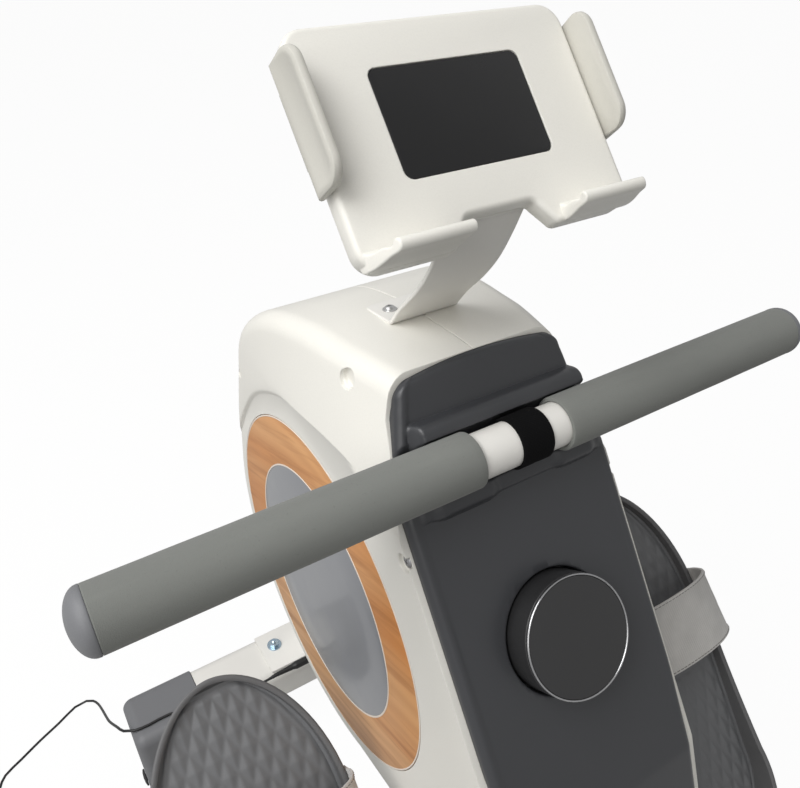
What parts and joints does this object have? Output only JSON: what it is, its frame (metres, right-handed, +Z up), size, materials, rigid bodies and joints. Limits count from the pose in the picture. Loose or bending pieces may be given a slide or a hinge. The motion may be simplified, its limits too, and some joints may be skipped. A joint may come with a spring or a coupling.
{
  "type": "folding rowing machine",
  "caption": "Folding magnetic rowing machine: housed flywheel pulled by a strap handle, tilting foot rests, tablet holder, and a cushioned seat rolling on a hinged rail",
  "frame": {"origin": "on the floor under the centre of the machine's length and width, measured without the free power cord", "axes": "+X to the right of the seated rower, +Y from the seat toward the flywheel housing, +Z up"},
  "size_m": [0.8221, 1.8436, 0.8511],
  "materials": {
    "ivory_paint": "smooth satin powder coat",
    "ivory_plastic": "moulded, satin",
    "cream_plastic": "moulded, satin",
    "charcoal_plastic": "moulded, fine texture",
    "foam": "closed-cell foam, matt",
    "grey_plastic": "moulded, fine texture",
    "wood": "wood-effect finish, satin",
    "disc_plastic": "painted, glossy",
    "knob_plastic": "moulded, satin gloss",
    "chrome": "bright plated",
    "screen": "dark, glossy",
    "pedal_plastic": "moulded, patterned tread",
    "grey_webbing": "woven strap",
    "black_webbing": "woven strap",
    "black_plastic": "moulded",
    "cord_rubber": "smooth sheath",
    "rubber": "moulded, matt",
    "steel": "zinc plated",
    "iron": "machined casting",
    "aluminium": "extruded, anodised",
    "grey_paint": "powder coat",
    "vinyl": "padded synthetic leather"
  },
  "bodies": {
    "frame": {"main_frame": "ivory_paint", "front_stabilizer": "ivory_paint", "front_cap_left": "grey_plastic", "front_cap_right": "grey_plastic", "middle_foot": "rubber", "shell_left": "ivory_plastic", "shell_right": "ivory_plastic", "wood_ring_left": "wood", "wood_ring_right": "wood", "side_disc_left": "disc_plastic", "side_disc_right": "disc_plastic", "face_cover": "charcoal_plastic", "drive_axle": "steel", "recoil_spring": "steel", "tension_cable": "cord_rubber", "pull_strap": "black_webbing", "tablet_bracket": "ivory_paint", "tablet_holder": "ivory_plastic", "display": "screen", "pedal_shaft": "steel", "hinge_bolt": "steel", "dc_socket": "black_plastic", "dc_plug": "black_plastic", "power_cord": "cord_rubber", "cord_coil": "cord_rubber", "adapter": "black_plastic"},
    "handle": {"handle_tube": "ivory_paint", "grip_left": "foam", "grip_right": "foam", "handle_cap_left": "grey_plastic", "handle_cap_right": "grey_plastic", "strap_loop": "black_webbing"},
    "drum": {"strap_drum": "black_plastic", "one_way_bearing": "steel"},
    "guide": {"guide_roller": "black_plastic"},
    "flywheel_set": {"flywheel": "iron", "bearing_left": "steel", "bearing_right": "steel"},
    "knob": {"tension_knob": "knob_plastic", "knob_rim": "chrome"},
    "brake_arm": {"magnet_arm": "steel"},
    "pedal_left": {"footplate_left": "pedal_plastic", "foot_strap_left": "grey_webbing"},
    "pedal_right": {"footplate_right": "pedal_plastic", "foot_strap_right": "grey_webbing"},
    "clamp_left": {"jaw_left": "cream_plastic"},
    "clamp_right": {"jaw_right": "cream_plastic"},
    "wheel_left": {"transport_wheel_left": "rubber"},
    "wheel_right": {"transport_wheel_right": "rubber"},
    "rail_set": {"rail": "aluminium", "rail_knuckle": "ivory_paint", "rear_leg": "ivory_paint", "rear_cap_left": "grey_plastic", "rear_cap_right": "grey_plastic"},
    "lock_knob": {"fold_knob": "black_plastic"},
    "seat": {"seat_carriage": "grey_paint", "seat_cushion": "vinyl"},
    "seat_roller_front": {"roller_front": "rubber"},
    "seat_roller_rear": {"roller_rear": "rubber"},
    "seat_roller_lower": {"lower_roller": "rubber"}
  },
  "joints": [
    {"name": "handle_pull", "type": "slide", "parent": "frame", "child": "handle", "axis": [0, -0.9659, 0.2588], "range_m": [0, 1], "stiffness_N_per_m": 15, "springref_m": -0.2},
    {"name": "drum_spin", "type": "hinge", "parent": "frame", "child": "drum", "pos_m": [0, 0.63855, 0.4323], "axis": [1, 0, 0], "range_deg": [0, 1606]},
    {"name": "guide_spin", "type": "hinge", "parent": "frame", "child": "guide", "pos_m": [0, 0.55944, 0.61147], "axis": [1, 0, 0], "range_deg": [0, 5118]},
    {"name": "flywheel_spin", "type": "hinge", "parent": "frame", "child": "flywheel_set", "pos_m": [0, 0.63855, 0.4323], "axis": [1, 0, 0], "continuous": true},
    {"name": "tension_turn", "type": "hinge", "parent": "frame", "child": "knob", "pos_m": [0, 0.45675, 0.5251], "axis": [0, -0.8168, 0.5769], "range_deg": [0, 300]},
    {"name": "magnet_swing", "type": "hinge", "parent": "frame", "child": "brake_arm", "pos_m": [0, 0.70855, 0.5535], "axis": [1, 0, 0], "range_deg": [0, 4.1]},
    {"name": "footplate_left_tilt", "type": "hinge", "parent": "frame", "child": "pedal_left", "pos_m": [-0.189, 0.51355, 0.245], "axis": [1, 0, 0], "range_deg": [-25, 20]},
    {"name": "footplate_right_tilt", "type": "hinge", "parent": "frame", "child": "pedal_right", "pos_m": [0.189, 0.51355, 0.245], "axis": [1, 0, 0], "range_deg": [-25, 20]},
    {"name": "jaw_left_slide", "type": "slide", "parent": "frame", "child": "clamp_left", "axis": [-1, 0, 0], "range_m": [0, 0.022]},
    {"name": "jaw_right_slide", "type": "slide", "parent": "frame", "child": "clamp_right", "axis": [1, 0, 0], "range_m": [0, 0.022]},
    {"name": "wheel_left_spin", "type": "hinge", "parent": "frame", "child": "wheel_left", "pos_m": [-0.215, 0.81455, 0.027], "axis": [1, 0, 0], "continuous": true},
    {"name": "wheel_right_spin", "type": "hinge", "parent": "frame", "child": "wheel_right", "pos_m": [0.215, 0.81455, 0.027], "axis": [1, 0, 0], "continuous": true},
    {"name": "rail_fold", "type": "hinge", "parent": "frame", "child": "rail_set", "pos_m": [0, 0.21855, 0.25], "axis": [1, 0, 0], "range_deg": [-80, 0]},
    {"name": "fold_knob_turn", "type": "hinge", "parent": "frame", "child": "lock_knob", "pos_m": [0.0366, 0.21855, 0.25], "axis": [1, 0, 0], "range_deg": [0, 270]},
    {"name": "seat_slide", "type": "slide", "parent": "rail_set", "child": "seat", "axis": [0, 1, 0], "range_m": [-0.36, 0.24]},
    {"name": "roller_front_spin", "type": "hinge", "parent": "seat", "child": "seat_roller_front", "pos_m": [0, -0.20645, 0.3013], "axis": [1, 0, 0], "range_deg": [-689, 1033]},
    {"name": "roller_rear_spin", "type": "hinge", "parent": "seat", "child": "seat_roller_rear", "pos_m": [0, -0.35645, 0.3013], "axis": [1, 0, 0], "range_deg": [-689, 1033]},
    {"name": "lower_roller_spin", "type": "hinge", "parent": "seat", "child": "seat_roller_lower", "pos_m": [0, -0.28145, 0.2067], "axis": [1, 0, 0], "range_deg": [-1720, 1147]}
  ],
  "couplings": [
    {"joint": "drum_spin", "follows": "handle_pull", "rad_per_m": 28.011},
    {"joint": "guide_spin", "follows": "handle_pull", "rad_per_m": 89.286},
    {"joint": "magnet_swing", "follows": "tension_turn", "ratio": 0.013333},
    {"joint": "jaw_right_slide", "follows": "jaw_left_slide", "ratio": 1},
    {"joint": "roller_front_spin", "follows": "seat_slide", "rad_per_m": -50},
    {"joint": "roller_rear_spin", "follows": "seat_slide", "rad_per_m": -50},
    {"joint": "lower_roller_spin", "follows": "seat_slide", "rad_per_m": 83.333}
  ]
}
